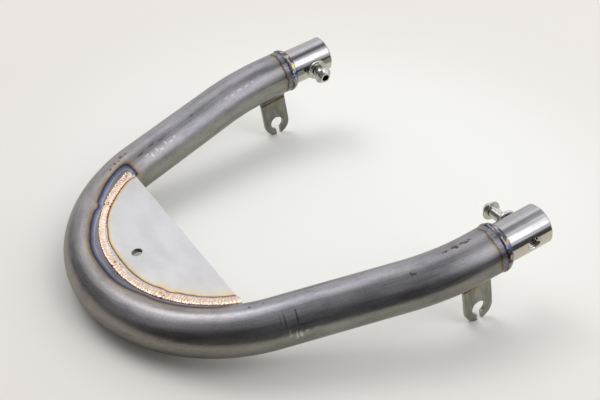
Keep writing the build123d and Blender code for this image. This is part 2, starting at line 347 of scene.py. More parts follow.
# Bare drawn tube. Places on it are along in mm, left leg positive, and roll from its top in degrees, inward
tubeLook = {
    "dark": (0.285, 0.279, 0.303),
    "light": (0.405, 0.396, 0.424),
    "smudge": (0.80, 0.79, 0.84),
    "roughness": (0.26, 0.38),
    "bump": 0.03,
    # noise scales along and across the tube
    "patches": (0.035, 0.11, 0.11),
    "speckle": (0.9, 1.3, 1.3),
    "streaks": (0.03, 1.6, 1.6),
    "clouds": (0.07, 0.16, 0.16),
    "smoke": (0.25, 0.8, 0.8),
    "endEdge": (0.02, 0.22, 0.22),
    # roll of the dark blue line beside the bead, by angle round the bend
    "blueLine": (
        (-70, 27), (-58, 26), (-40, 24), (-30, 25), (-25, 28), (-20, 24.5), (-10, 19), (0, 19.5), (10, 17),
        (20, 20), (30, 24), (34.5, 26), (37, 30.5), (39.5, 25.5), (45, 23), (55, 20), (62, 21), (70, 25),
    ),
    # where the bead's heat ends: angles at the plate's far and near ends, and roll under the inner side
    "heatFarEnd": 64.6,
    "heatNearEnd": (-63.0, -53.0),
    "heatUnder": 62.0,
    # painted shade with a warm floor reflection on the underside, deeper painted shade round the rear
    # bend, and painted light on the far leg's inner underside: each tint with the places in mm where it
    # starts and is full
    "paintedUnderShading": (
        ((0.93, 0.95, 0.875), {"above": (4.5, 1.0)}),
        ((0.87, 0.85, 0.81), {"fromRear": (115, 80), "across": (0, 3), "above": (11, 7)}),
        ((1.13, 1.13, 1.10), {"across": (-5, -9), "along": (95, 110), "above": (1.5, -2.5)}),
    ),
    # painted light and shade: brightness of the bare tube, by along
    "paintedLightAlong": (
        (-210, 0.90), (-190, 0.92), (-165, 0.99), (-140, 1.04), (-125, 1.15), (-100, 1.12), (-60, 1.02),
        (0, 1.04), (45, 1.04), (62, 1.14), (78, 1.14), (92, 1.0), (150, 1.02), (210, 1.03),
    ),
    "heatReach": {"Cold": 1.75, "Hot": 1.5},
    "warmth": {"share": 0.15, "reach": 7.0},     # faint straw cast far out from the bead
    "temper": (
        (0, 1, 1, 1), (0.10, 0.98, 0.92, 0.82), (0.20, 0.86, 0.72, 0.46), (0.32, 0.52, 0.37, 0.20),
        (0.41, 0.24, 0.14, 0.13), (0.50, 0.09, 0.09, 0.22), (0.585, 0.15, 0.18, 0.38),
        (0.68, 0.30, 0.38, 0.58), (0.82, 0.43, 0.50, 0.64), (0.87, 0.86, 0.88, 0.92),
        (0.91, 0.54, 0.54, 0.58), (1.0, 0.54, 0.52, 0.55),
    ),
    # tint on the last millimetres before the end welds: along of its line, with the grey scaled band beyond
    "endLine": -6.2,
    "endReach": {"Cold": 1.15, "Hot": 0.8},
    "endWander": {"far": 4.2, "near": 2.6},
    "farTemper": (
        (0, 1, 1, 1), (0.12, 0.94, 0.88, 0.74), (0.24, 0.74, 0.58, 0.34), (0.36, 0.46, 0.32, 0.18),
        (0.44, 0.20, 0.14, 0.16), (0.51, 0.14, 0.15, 0.30), (0.62, 0.36, 0.38, 0.52),
        (0.75, 0.80, 0.80, 0.84), (1.0, 0.74, 0.73, 0.75),
    ),
    "nearTemper": (
        (0, 1, 1, 1), (0.12, 0.95, 0.91, 0.80), (0.28, 0.72, 0.64, 0.47), (0.42, 0.46, 0.39, 0.27),
        (0.52, 0.42, 0.36, 0.30), (0.64, 0.68, 0.66, 0.64), (0.80, 0.92, 0.91, 0.90),
        (1.0, 0.86, 0.85, 0.87),
    ),
    # marks: shade, strength, raggedness, then along, roll, and reach along and across in mm
    "rust": ((0.095, 0.04, 0.02), 0.8, 2.3, (
        (-193, 3, 1.7, 0.8), (-198, 5, 2.1, 0.9), (-199.2, 1, 1.1, 0.9), (-202.3, 6, 1.6, 0.8),
        (-204.6, 3, 1.5, 1.0), (-206.8, 6, 1.5, 0.6), (84, 4, 1.1, 0.8), (89, 2, 0.8, 1.1),
        (92, 4, 0.7, 0.6), (95, -2, 1.6, 1.2), (98.5, -1, 1.0, 0.7), (-95, 8, 0.8, 0.8),
        (-102, 12, 0.5, 0.5),
    )),
    "scratches": ((0.05, 0.05, 0.055), 0.6, 1.2, (
        (-109.5, -44, 0.45, 4.2), (-115.5, -43, 0.55, 3.6), (-107.5, -44, 0.25, 3.0),
        (-115.5, -29, 0.8, 0.6), (113, 26, 3.0, 0.45), (120, 29, 1.8, 0.4), (146, 25, 1.2, 0.7),
        (104, 30, 2.6, 0.6), (-174.2, -24, 1.7, 0.7), (-172.9, -21, 0.5, 1.5),
    )),
    "scuffs": ((0.74, 0.73, 0.70), 0.75, 2.2, (
        (-110.5, -76, 0.7, 2.4), (-113.5, -84, 0.55, 2.6), (-115.5, -83, 0.9, 2.4), (-118.5, -80, 1.1, 0.9),
        (-123, -79, 1.4, 0.5),
    )),
    "flecks": ((0.74, 0.73, 0.70), 0.5, 2.6, (
        (107, 42, 1.6, 0.5), (110, 48, 0.6, 1.6), (114, 44, 0.7, 1.5), (117, 50, 1.2, 0.7),
        (121, 42, 0.6, 1.7), (124, 48, 1.6, 0.5), (128, 44, 0.8, 0.7), (171, 43, 1.6, 0.4),
        (176, 46, 1.8, 0.4), (182, 44, 2.0, 0.5), (188, 45, 1.6, 0.4), (193, 43, 1.2, 0.4),
    )),
    "dent": {"along": -174.5, "roll": -21, "reach": 1.1, "depth": 0.12},
}


# A place on the straightened tube's skin
def onSkin(along, roll):
    return (along, -hoop["tubeRadius"] * sin(radians(roll)), hoop["tubeRadius"] * cos(radians(roll)))


def paintTube(tree, look):
    straight = ownAttribute(tree, "straightened")
    patches = patchy(tree, straight, look["patches"], 4.0, 0.6)
    speckle = patchy(tree, straight, look["speckle"], 2.0, 0.6)
    streaks = patchy(tree, straight, look["streaks"], 3.0, 0.6)
    place = useGroup(tree, bendPlace)
    ends = useGroup(tree, endPlace)

    # heat beside the bead
    line = curved(tree, place["Angle"], look["blueLine"], 60)
    fromLine = times(tree, less(tree, place["Roll"], line), rollLength)
    fromEnd = times(tree, less(tree, look["heatFarEnd"], place["Angle"]), bendLength)
    under = times(tree, less(tree, look["heatUnder"], place["Roll"]), rollLength)
    distance = calc(tree, "SMOOTH_MIN", calc(tree, "SMOOTH_MIN", fromLine, fromEnd, 6.0), under, 1.5)
    distance = calc(tree, "MULTIPLY_ADD", swing(tree, straight, 0.3), 0.7, distance)
    beadHeat = useGroup(tree, heatFall, Distance=distance, **look["heatReach"])["Heat"]
    cold = calc(tree, "DIVIDE", calc(tree, "MINIMUM", distance, 0.0), look["warmth"]["reach"])
    warmth = times(tree, calc(tree, "EXPONENT", cold), look["warmth"]["share"])
    beadHeat = calc(tree, "MAXIMUM", beadHeat, warmth)
    beadHeat = times(tree, beadHeat, spread(tree, place["Angle"], *look["heatNearEnd"]))

    # heat at the open ends: a wavy edge, with smoky streaks in the grey band. The far end is the hotter one
    edge = swing(tree, straight, look["endEdge"], 2.0)
    endDistance = less(tree, ends["Along"], look["endLine"])
    endDistance = calc(tree, "MULTIPLY_ADD", edge, bySide(tree, ends, **look["endWander"]), endDistance)
    endHeat = useGroup(tree, heatFall, Distance=endDistance, **look["endReach"])["Heat"]
    smoke = spread(tree, patchy(tree, straight, look["smoke"]), 0.35, 0.65, 0.70, 1.12)
    tempers = (ramp(tree, endHeat, look["nearTemper"]), ramp(tree, endHeat, look["farTemper"]))
    endTint = mixed(tree, bySide(tree, ends), *tempers)

    tone = calc(tree, "MULTIPLY_ADD", streaks, 0.45, times(tree, patches, 0.8))
    colour = mixed(tree, spread(tree, tone, 0.42, 0.80), look["dark"], look["light"])
    colour = shaded(tree, colour, spread(tree, speckle, 0.3, 0.7, 0.90, 1.08))
    clouds = spread(tree, patchy(tree, straight, look["clouds"], 5.0, 0.65), 0.50, 0.68)
    colour = tinted(tree, colour, look["smudge"], clouds)
    x, y, z = axesOf(tree, straight)
    # painted light and shade along the tube
    colour = shaded(tree, colour, curved(tree, x, look["paintedLightAlong"], 1))
    places = {"along": x, "across": y, "above": z, "fromRear": calc(tree, "ABSOLUTE", x)}
    # painted shade and painted light on the tube's undersides
    for tint, limits in look["paintedUnderShading"]:
        share = 1.0
        for name, startAndFull in limits.items():
            share = times(tree, share, spread(tree, places[name], *startAndFull))
        colour = tinted(tree, colour, tint, share)
    colour = tinted(tree, colour, ramp(tree, beadHeat, look["temper"]))
    colour = tinted(tree, colour, endTint)
    colour = shaded(tree, colour, smoke, spread(tree, endHeat, 0.5, 0.8))
    for kind in ("rust", "scratches", "scuffs", "flecks"):
        shade, strength, ragged, marks = look[kind]
        for along, roll, reach, width in marks:
            centre, size = onSkin(along, roll), (reach, width, width)
            colour = spotted(tree, colour, shade, strength, straight, centre, size, Ragged=ragged)
    rubbed = calc(tree, "MULTIPLY_ADD", streaks, 0.5, times(tree, patches, 0.5))
    height = times(tree, calc(tree, "ADD", speckle, streaks), 0.5)
    return colour, rubbed, height


# Bright sheet plate with tempered rings beside the bead
plateLook = {
    "dark": (0.605, 0.598, 0.615),
    "light": (0.662, 0.655, 0.672),
    "roughness": (0.42, 0.52),
    "bump": 0.01,
    "smear": (0.07, 0.04, 0.1),
    "rubbed": (0.15, 0.05, 0.1),
    # radius of the dark blue ring, by angle round the bend
    "blueLine": (
        (-70, 66.6), (-60, 66.8), (-50, 67.1), (-40, 67.0), (-35, 67.0), (-31, 67.8), (-27, 67.1),
        (-20, 67.8), (-10, 67.8), (0, 67.8), (5, 68.1), (10, 68.7), (18, 69.8), (22, 69.9), (30, 70.7),
        (38, 71.1), (45, 70.8), (50, 70.7), (57, 70.4), (60, 69.2), (70, 64),
    ),
    "temper": (
        (0, 1, 1, 1), (0.05, 1.03, 1.01, 0.93), (0.14, 1.06, 0.95, 0.66), (0.23, 1.08, 0.78, 0.28),
        (0.33, 1.02, 0.46, 0.06), (0.42, 0.42, 0.12, 0.07), (0.48, 0.10, 0.05, 0.16),
        (0.57, 0.12, 0.20, 0.58), (0.66, 0.42, 0.66, 0.95), (0.78, 0.95, 1.05, 0.98),
        (0.9, 0.90, 0.92, 0.80), (1.0, 0.62, 0.60, 0.64),
    ),
    # painted shade on the wall of the plate's hole and a thin rim round it
    "hole": {"centre": (-58.6, 2.4, 6.75), "reach": (3.2, 3.2, 9.0), "wall": (0.10, 0.10, 0.07)},
    # the rings themselves, and a broad straw cast that fades round the bend
    "narrow": {"Cold": 0.92, "Hot": 0.85},
    "broad": {"Cold": 3.6, "Hot": 0.75},
    "broadFades": (-50, 15, 0.42, 0.10),
}


def paintPlate(tree, look):
    place = useGroup(tree, bendPlace)
    point = useGroup(tree, hoopPlace)["Place"]
    distance = less(tree, place["Radius"], curved(tree, place["Angle"], look["blueLine"], 80))
    distance = calc(tree, "MULTIPLY_ADD", swing(tree, point, 0.35), 0.8, distance)
    narrow = useGroup(tree, heatFall, Distance=distance, **look["narrow"])["Heat"]
    broad = useGroup(tree, heatFall, Distance=distance, **look["broad"])["Heat"]
    blotch = spread(tree, patchy(tree, point, 0.22), 0.35, 0.65, 0.4, 1.2)
    share = times(tree, blotch, spread(tree, place["Angle"], *look["broadFades"]))
    heat = calc(tree, "MAXIMUM", narrow, times(tree, broad, share))
    smear = patchy(tree, point, look["smear"], 4.0)
    colour = mixed(tree, spread(tree, smear, 0.35, 0.65), look["dark"], look["light"])
    colour = tinted(tree, colour, ramp(tree, heat, look["temper"]))
    # painted shade in the plate's hole
    hole = look["hole"]
    colour = spotted(tree, colour, hole["wall"], 1.0, point, hole["centre"], hole["reach"], Ragged=0.1)
    return colour, patchy(tree, point, look["rubbed"]), patchy(tree, point, 2.5, 2.0)


# Bronze-coloured bead: pale pink-cream with copper patches, painted highlights on its ripples' crests and
# painted shade in their creases. Its spots, by their colour, are angle round the bend, place across from -1
# at the plate's toe to 1 at the tube's, and reach along and across
beadLook = {
    "halfWidth": 2.5,
    # painted highlight of the ripples' crests, the bead's body colour, copper, and painted shade for the
    # creases
    "paintedCrestLight": (0.96, 0.81, 0.69),
    "body": (0.90, 0.67, 0.52),
    "copper": (0.84, 0.47, 0.27),
    "paintedShade": (0.17, 0.10, 0.08),
    "roughness": (0.20, 0.36),
    "bump": 0.02,
    "spots": {
        (0.88, 0.36, 0.10): (
            (-28.7, 0.0, 1.2, 1.0), (-3.0, -0.6, 1.4, 0.5), (-7.5, -0.7, 1.2, 0.4), (57.0, -0.5, 1.2, 0.5),
            (60.0, 0.3, 0.8, 0.6), (8.0, -0.75, 1.6, 0.35), (38.0, 0.1, 0.7, 0.8), (-13.0, -0.8, 0.9, 0.3),
        ),
        (0.20, 0.10, 0.20): (
            (1.5, -0.2, 0.8, 0.9), (-1.0, -0.7, 0.8, 0.5), (58.8, -0.1, 0.8, 0.7), (61.0, 0.4, 0.6, 0.7),
            (41.2, -0.2, 0.6, 0.7), (-5.0, 0.9, 0.8, 0.4), (-9.5, -0.9, 0.8, 0.3), (-30.6, 0.3, 0.4, 0.8),
        ),
    },
}


def paintBead(tree, look):
    straight = ownAttribute(tree, "straightened")
    paintedShade = ownAttribute(tree, "paintedShade", "Fac")
    blotch = patchy(tree, straight, 0.45)
    fine = patchy(tree, straight, 2.4, 2.0)
    # painted highlight on the ripples' crests, the body colour in their creases
    colour = mixed(tree, spread(tree, paintedShade, 0.1, 0.6), look["paintedCrestLight"], look["body"])
    colour = mixed(tree, spread(tree, blotch, 0.50, 0.75, 0.0, 0.6), colour, look["copper"])
    for shade, spots in look["spots"].items():
        for angle, across, reach, width in spots:
            centre = (angle * bendLength, across * look["halfWidth"], 0)
            colour = spotted(tree, colour, shade, 0.8, straight, centre, (reach, width, 5.0), Ragged=1.4)
    colour = shaded(tree, colour, spread(tree, patchy(tree, straight, 0.9, 2.0), 0.35, 0.65, 0.80, 1.04))
    # painted shade in the creases, broken up by fine noise
    paintedCreaseShade = spread(tree, calc(tree, "MULTIPLY_ADD", fine, 0.5, paintedShade), 0.95, 1.35, 0.0, 0.85)
    colour = mixed(tree, paintedCreaseShade, colour, look["paintedShade"])
    return colour, blotch, fine


# Heat-tinted steel weld. Its patches, by their shade, are side, roll inward from the top, along from the
# tube's end in mm, and reach round and along, which "grown" then stretches
weldLook = {
    "dark": (0.085, 0.085, 0.10),
    "light": (0.38, 0.38, 0.43),
    "roughness": (0.14, 0.26),
    "bump": 0.03,
    # painted shade in the creases between scales
    "paintedShade": (0.035, 0.035, 0.045),
    "flow": (0.5, 0.22, 0.22),
    "grown": (1.45, 1.6),
    "patches": {
        (0.02, 0.02, 0.03): (
            (1, 10, 0.6, 2.2, 1.2), (1, 30, 1.0, 2.4, 1.0), (1, 76, 1.3, 1.2, 0.7),
            (-1, -65, 0.5, 2.0, 1.6), (-1, -12, 0.8, 1.8, 0.6), (-1, 8, -1.0, 1.6, 0.5),
            (-1, -92, -0.2, 1.0, 0.8),
        ),
        (0.92, 0.44, 0.10): (
            (1, -3, -0.6, 1.1, 0.6), (1, 20, 0.2, 0.8, 0.5), (-1, 3, -0.1, 1.2, 0.5),
            (-1, -44, 0.5, 1.0, 0.6), (-1, -88, 0.6, 1.0, 0.6), (-1, -80, -0.9, 1.0, 0.4),
            (1, 66, 0.2, 1.0, 0.7), (-1, -52, 1.1, 0.7, 0.4), (1, 150, 0.3, 1.4, 0.6),
            (-1, 120, 0.4, 1.4, 0.6), (-1, -150, 0.2, 1.4, 0.7), (1, -70, 0.2, 1.3, 0.6),
        ),
        (0.98, 0.80, 0.26): ((1, 57, 0.3, 1.6, 0.9), (1, 49, 0.9, 0.8, 0.5), (-1, -39, 0.9, 0.6, 0.4)),
        (0.10, 0.20, 0.60): (
            (1, 78, 0.1, 2.2, 0.9), (1, 92, 0.4, 1.2, 1.1), (1, 116, 0.4, 1.2, 1.0),
            (-1, -55, 0.0, 1.4, 0.8), (-1, -84, 0.2, 1.0, 0.6), (-1, 10, 0.4, 1.4, 0.5),
            (1, -14, 0.4, 1.6, 0.6), (-1, -100, 0.0, 1.0, 0.6), (1, 175, 0.2, 1.6, 0.8),
            (-1, 150, 0.0, 1.6, 0.8), (-1, -125, 0.4, 1.5, 0.7), (1, -50, 0.6, 1.5, 0.7),
        ),
        (0.50, 0.76, 0.92): ((1, 68, 0.7, 1.2, 0.4), (1, 88, -0.5, 1.4, 0.35), (-1, -97, 0.9, 0.9, 0.4)),
        (0.90, 0.22, 0.06): ((1, 103, 0.6, 0.9, 0.55), (-1, -48, -0.3, 0.5, 0.3), (1, 17, 1.0, 0.6, 0.4)),
    },
}


def paintWeld(tree, look):
    point = useGroup(tree, hoopPlace)["Place"]
    ends = useGroup(tree, endPlace)
    paintedShade = ownAttribute(tree, "paintedShade", "Fac")
    flow = patchy(tree, point, look["flow"], 2.0)
    colour = mixed(tree, spread(tree, flow, 0.38, 0.62), look["dark"], look["light"])
    apart = 10.0      # keeps one side's patches off the other's ring
    onRing = addNode(tree, "CombineXYZ", {
        0: times(tree, ends["Roll"], rollLength), 1: ends["Along"], 2: times(tree, ends["Side"], apart),
    }).outputs[0]
    longer, wider = look["grown"]
    for shade, patches in look["patches"].items():
        for side, roll, along, reach, width in patches:
            centre = (roll * rollLength, along, side * apart)
            size = (reach * longer, width * wider, apart / 2)
            colour = spotted(tree, colour, shade, 0.9, onRing, centre, size, Ragged=1.5, Grain=0.9)
    # painted shade in the scales' creases
    colour = mixed(tree, spread(tree, paintedShade, 0.6, 1.0, 0.0, 0.6), colour, look["paintedShade"])
    fine = patchy(tree, point, 1.6, 2.0)
    return colour, fine, fine


# Turned and polished bar. Its lower side has a painted pale reflection of the floor, with a painted dark
# reflection in a strip above that on the far slug
slugLook = {
    "colour": (0.515, 0.505, 0.53),
    "smudged": (0.465, 0.46, 0.48),
    "roughness": (0.07, 0.13),
    "rubbedFrom": 0.35,
    "bump": 0.001,
    "ringsPerMm": 4.0,
    "paintedFloorReflection": (1.30, 1.27, 1.14),
    "floorReflectionFrom": {"near": 73, "far": 92},     # roll, in degrees
    "floorReflectionFull": 7,
    "strip": (0.55, 0.54, 0.50),
    "stripFrom": (-19, -15),                  # from where the lower side starts
}


def paintSlug(tree, look):
    ends = useGroup(tree, endPlace)
    smudge = patchy(tree, useGroup(tree, hoopPlace)["Place"], 0.25)
    rings = addNode(tree, "TexNoise", {
        "W": times(tree, ends["Along"], look["ringsPerMm"]), "Scale": 1.0, "Detail": 3.0,
    }, noise_dimensions="1D").outputs["Fac"]
    colour = mixed(tree, spread(tree, smudge, 0.4, 0.7), look["colour"], look["smudged"])
    past = less(tree, calc(tree, "ABSOLUTE", ends["Roll"]), bySide(tree, ends, **look["floorReflectionFrom"]))
    # painted reflection of the floor on the lower side
    paintedFloorReflection = tinted(tree, colour, look["paintedFloorReflection"])
    # painted dark reflection in a strip above it on the far slug
    inDarkReflection = times(tree, spread(tree, past, *look["stripFrom"]), bySide(tree, ends))
    colour = tinted(tree, colour, look["strip"], inDarkReflection)
    colour = mixed(tree, spread(tree, past, 0, look["floorReflectionFull"]), colour, paintedFloorReflection)
    rubbed = calc(tree, "MULTIPLY_ADD", rings, 0.6, times(tree, smudge, 0.4))
    return colour, rubbed, rings


# Zinc-bright screws and washers, with painted shade inside the sockets
fastenerLook = {
    "colour": (0.62, 0.62, 0.60),
    "dull": (0.42, 0.41, 0.38),
    # painted shade of the sockets' insides
    "socket": (0.045, 0.042, 0.03),
    "roughness": (0.07, 0.16),
    "bump": 0.004,
}


def paintFastener(tree, look):
    point = useGroup(tree, hoopPlace)["Place"]
    dull = spread(tree, patchy(tree, point, 0.6, 4.0), 0.45, 0.7)
    colour = mixed(tree, dull, look["colour"], look["dull"])
    # painted shade inside the sockets
    colour = mixed(tree, ownAttribute(tree, "paintedShade", "Fac"), colour, look["socket"])
    return colour, patchy(tree, point, 1.5), patchy(tree, point, 3.0)


# Sheet tabs: dull sawn faces, brighter sheared edges, straw and blue under the leg
tabLook = {
    "dark": (0.215, 0.215, 0.20),
    "light": (0.34, 0.338, 0.318),
    "sheared": (0.44, 0.435, 0.40),
    "roughness": (0.36, 0.46),
    "bump": 0.02,
    "smear": (0.3, 0.3, 0.12),
    # height of the dark line at each tab's middle, and how much it falls for each mm to the rear
    "blueLine": {"near": -18.2, "far": -17.4},
    "fall": 0.055,
    "middle": -13.6,     # along from the tube's end
    "heatReach": {"Cold": 1.15, "Hot": 1.0},
    # painted light: the near tab's colour is brighter than the far one's
    "tone": {"near": 1.28, "far": 1.0},
    "temper": (
        (0, 1, 1, 1), (0.12, 1.0, 0.95, 0.80), (0.25, 0.95, 0.74, 0.42), (0.36, 0.62, 0.38, 0.16),
        (0.44, 0.24, 0.13, 0.14), (0.50, 0.10, 0.10, 0.26), (0.60, 0.24, 0.28, 0.46),
        (0.75, 0.60, 0.60, 0.66), (1.0, 0.70, 0.70, 0.74),
    ),
}


def paintTab(tree, look):
    point = useGroup(tree, hoopPlace)["Place"]
    ends = useGroup(tree, endPlace)
    ahead = less(tree, ends["Along"], look["middle"])
    line = calc(tree, "MULTIPLY_ADD", ahead, look["fall"], bySide(tree, ends, **look["blueLine"]))
    distance = less(tree, axesOf(tree, point)["Z"], line)
    distance = calc(tree, "MULTIPLY_ADD", swing(tree, point, 0.3, 2.0), 1.3, distance)
    heat = useGroup(tree, heatFall, Distance=distance, **look["heatReach"])["Heat"]
    smear = calc(tree, "MULTIPLY_ADD", swing(tree, point, 2.2), 0.5, patchy(tree, point, look["smear"], 4.0))
    colour = mixed(tree, spread(tree, smear, 0.35, 0.65), look["dark"], look["light"])
    # painted light on the near tab
    colour = shaded(tree, colour, bySide(tree, ends, **look["tone"]))
    facing = axesOf(tree, addNode(tree, "TexCoord").outputs["Normal"])["Y"]
    edges = spread(tree, calc(tree, "ABSOLUTE", facing), 0.35, 0.85, 1.0, 0.0)
    colour = mixed(tree, edges, colour, look["sheared"])
    colour = tinted(tree, colour, ramp(tree, heat, look["temper"]))
    return colour, smear, patchy(tree, point, 2.0)


metals = {
    "raw_tube": newMetal("rawTube", tubeLook, paintTube),
    "plate": newMetal("plateSheet", plateLook, paintPlate),
    "bronze_weld": newMetal("bronzeBead", beadLook, paintBead),
    "bright_slug": newMetal("polishedBar", slugLook, paintSlug),
    "tinted_weld": newMetal("tintedWeld", weldLook, paintWeld),
    "fastener": newMetal("brightFastener", fastenerLook, paintFastener),
    "tab": newMetal("sheetTab", tabLook, paintTab),
}
for part in frame["record"]["subparts"]:
    node = nodes[part["node"]]
    node.data.materials.clear()
    node.data.materials.append(metals[part["material_slot"]])
print("materials made:", len(metals))


def linkMesh(bm, name, material):
    mesh = bpy.data.meshes.new(name)
    bm.to_mesh(mesh)
    bm.free()
    mesh.materials.append(material)
    made = bpy.data.objects.new(name, mesh)
    bpy.context.scene.collection.objects.link(made)
    return made


# Turns a finished bmesh in hoop millimetres into a piece. Edges sharper than the given angle stay crisp
def addPiece(bm, name, slot, sharp, *replaced):
    bmesh.ops.recalc_face_normals(bm, faces=bm.faces[:])
    piece = linkMesh(bm, name, metals[slot])
    piece.data.transform(hoopMatrix)
    piece.data.shade_smooth()
    piece.data.set_sharp_from_angle(angle=radians(sharp))
    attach(piece, "root")
    if replaced:
        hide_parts(*replaced)


# A straight round bar or wall along X, as rings of vertices
def straightWall(bm, radius, segments, start, end, rings):
    across = Matrix.Translation((start, 0, 0)) @ Matrix.Rotation(pi / 2, 4, "Y")
    circle = bmesh.ops.create_circle(bm, segments=segments, radius=radius, matrix=across)["verts"]
    firstLoop = list({edge for vert in circle for edge in vert.link_edges})
    grown = bmesh.ops.spin(
        bm, geom=circle + firstLoop, cent=(0, 0, 0), axis=(1, 0, 0),
        dvec=((end - start) / rings, 0, 0), angle=0, steps=rings, use_duplicate=False,
    )["geom_last"]
    return firstLoop, [item for item in grown if isinstance(item, bmesh.types.BMEdge)]


# Bent tube: a straight tube with its mill waviness and a dent, then bent to the hoop
tubeShape = {
    "segments": 96,
    "outerRings": 380,
    "innerRings": 110,
    "waviness": 0.05,
    "waveScale": 0.045,
    "sharp": 50,
}


def makeHoopTube():
    shape, dent = tubeShape, tubeLook["dent"]
    outer, wall = hoop["tubeRadius"], hoop["tubeWall"]
    bm = bmesh.new()
    skin = straightWall(bm, outer, shape["segments"], -halfLength, halfLength, shape["outerRings"])
    bore = straightWall(bm, outer - wall, shape["segments"], -halfLength, halfLength, shape["innerRings"])
    for outerLoop, innerLoop in zip(skin, bore):
        bmesh.ops.bridge_loops(bm, edges=outerLoop + innerLoop)
    straightened = bm.verts.layers.float_vector.new("straightened")
    dentPlace = Vector(onSkin(dent["along"], dent["roll"]))
    for vert in bm.verts:
        place = vert.co.copy()
        vert[straightened] = place
        if hypot(place.y, place.z) > outer - wall / 2:
            sunk = shape["waviness"] * (1 + noise.noise(place * shape["waveScale"])) / 2
            sunk += dent["depth"] * exp(-((place - dentPlace).length / dent["reach"]) ** 2)
            place.yz *= 1 - sunk / outer
        vert.co = bentPlace(place.x, place.y, place.z)
    addPiece(bm, "bentTube", "raw_tube", shape["sharp"], "hoop_tube")


# Four runs of bead. Toes by angle: radius on the plate, roll on the tube
beadShape = {
    "runEnds": (-62.0, -30.0, 0.5, 40.0, 62.0),
    "plateToe": (
        (-62, 67.3), (-50, 67.6), (-33, 67.7), (-30.5, 68.4), (-28, 67.5), (-20, 68.6), (-8, 69.1),
        (2, 69.2), (12, 70.0), (22, 70.7), (35, 71.3), (42, 71.2), (55, 71.0), (62, 70.6),
    ),
    "tubeToe": ((-62, 45.5), (-2, 45), (10, 42), (22, 40.5), (62, 40.5)),
    "segments": 32,
    "step": 0.22,
    "crown": 0.72,
    "ripplePitch": (1.55, 1.45, 1.40, 1.50),
    "rippleHeight": 0.26,
    "rippleLevel": 0.55,      # how far up a ripple the plain crown lies
    "rippleSwing": (0.8, 0.9),
    "slant": (0.4, 1.3, 2.6, 0.8),
    "bulge": 0.7,
    "noseLength": 2.2,
    "overlap": 1.4,
    "noseLift": 0.25,
    "liftFades": 6.6,
    # painted light that a ripple's crest keeps at its toes, painted shade at a nose's edge, and the share of
    # painted shade that the first run's end keeps
    "toeLight": 0.3,
    "noseDark": 0.5,
    "firstEndDark": 0.3,
    # the first run's end follows the plate's straight edge: how far it leans, and over what length that fades
    "firstEndSkew": 2.2,
    "skewFades": 8,
    "endPinch": 0.04,
    # how far the toes and the ripples stray, and how often: mm on the plate, degrees on the tube, a pitch
    "plateToeStrays": (0.34, 0.8),
    "tubeToeStrays": (2.0, 0.7),
    "rippleStrays": (0.45, 0.3),
    # a crater's dip, and painted shade in a ring round it
    "crater": {
        "fromNose": 1.7, "size": 0.6, "depth": 0.30, "ring": 0.9, "ringWidth": 0.35, "ringDark": 0.6,
        "across": 0.8,
    },
    # depth of the hidden side at the toes, and how much deeper it goes in the middle
    "sunk": 0.5,
    "root": 1.2,
    "sharp": 70,
}


# Height of a ripple or a scale, from 0 in its crease to 1 on its back
def ridge(phase):
    return abs(sin(pi * phase)) ** 0.8


def stray(strays, along, *where):
    size, often = strays
    return size * noise.noise((along * often, *where))


